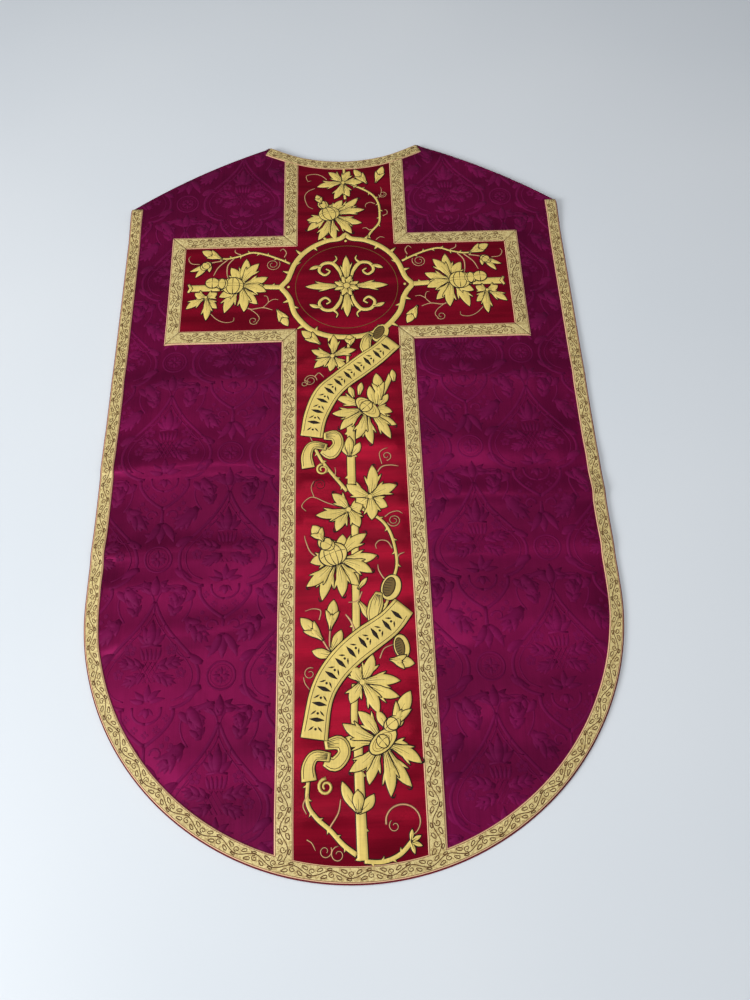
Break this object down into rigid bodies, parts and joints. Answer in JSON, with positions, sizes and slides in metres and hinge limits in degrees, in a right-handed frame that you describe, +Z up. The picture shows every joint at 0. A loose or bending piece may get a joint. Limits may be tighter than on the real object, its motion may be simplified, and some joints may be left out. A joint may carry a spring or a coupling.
{
  "type": "chasuble",
  "caption": "Stiff Roman chasuble with a rounded hem, lying flat: damask panels joined at slanted shoulders, a cross orphrey on the back and galloon along every edge.",
  "frame": {"origin": "middle of the underside of the bounding box, on the table the garment lies on", "axes": "+Y towards the neck, +X to the right with the back panel seen from above, +Z up out of the back panel"},
  "size_m": [0.704, 1.137, 0.0093],
  "materials": {
    "damask": "tone-on-tone purple silk damask, ogee figure, satin and matt areas",
    "orphrey": "crimson satin orphrey with flat woven gold flowers, scrolls and a ring, outlined in black",
    "galloon": "old-gold woven galloon with a brown scroll figure and thin dark selvages",
    "lining": "dark red sateen, soft sheen",
    "interlining": "undyed stiff linen canvas, matt"
  },
  "bodies": {
    "front_and_yoke": {"back_damask_yoke": "damask", "back_galloon_left_yoke": "galloon", "back_galloon_right_yoke": "galloon", "back_interlining_yoke": "interlining", "back_lining_yoke": "lining", "back_neck_galloon": "galloon", "back_orphrey_yoke": "orphrey", "front_damask_panel": "damask", "front_edge_galloon_left": "galloon", "front_edge_galloon_right": "galloon", "front_galloon_left_panel": "galloon", "front_galloon_right_panel": "galloon", "front_interlining_panel": "interlining", "front_lining_panel": "lining", "front_neck_galloon": "galloon", "front_orphrey_panel": "orphrey", "shoulder_seam_left": "damask", "shoulder_seam_right": "damask"},
    "front_hem": {"front_damask_hem": "damask", "front_edge_galloon_hem": "galloon", "front_galloon_left_hem": "galloon", "front_galloon_right_hem": "galloon", "front_interlining_hem": "interlining", "front_lining_hem": "lining", "front_orphrey_hem": "orphrey"},
    "back_panel": {"back_cross_galloon_left": "galloon", "back_cross_galloon_right": "galloon", "back_damask_panel": "damask", "back_edge_galloon_left": "galloon", "back_edge_galloon_right": "galloon", "back_interlining_panel": "interlining", "back_lining_panel": "lining", "back_orphrey_arm_left": "orphrey", "back_orphrey_arm_right": "orphrey", "back_orphrey_pillar": "orphrey"},
    "back_hem": {"back_damask_hem": "damask", "back_edge_galloon_hem": "galloon", "back_galloon_left_hem": "galloon", "back_galloon_right_hem": "galloon", "back_interlining_hem": "interlining", "back_lining_hem": "lining", "back_orphrey_hem": "orphrey"}
  },
  "joints": [
    {"name": "back_lift", "type": "hinge", "parent": "front_and_yoke", "child": "back_panel", "pos_m": [0, 0.428, 0.0094], "axis": [-1, 0, 0], "range_deg": [0, 110]},
    {"name": "back_fold", "type": "hinge", "parent": "back_panel", "child": "back_hem", "pos_m": [0, -0.166, 0.0094], "axis": [-1, 0, 0], "range_deg": [0, 165]},
    {"name": "front_fold", "type": "hinge", "parent": "front_and_yoke", "child": "front_hem", "pos_m": [0, -0.166, 0.0094], "axis": [-1, 0, 0], "range_deg": [0, 165]}
  ],
  "couplings": [
    {"joint": "front_fold", "follows": "back_fold", "ratio": 1}
  ]
}
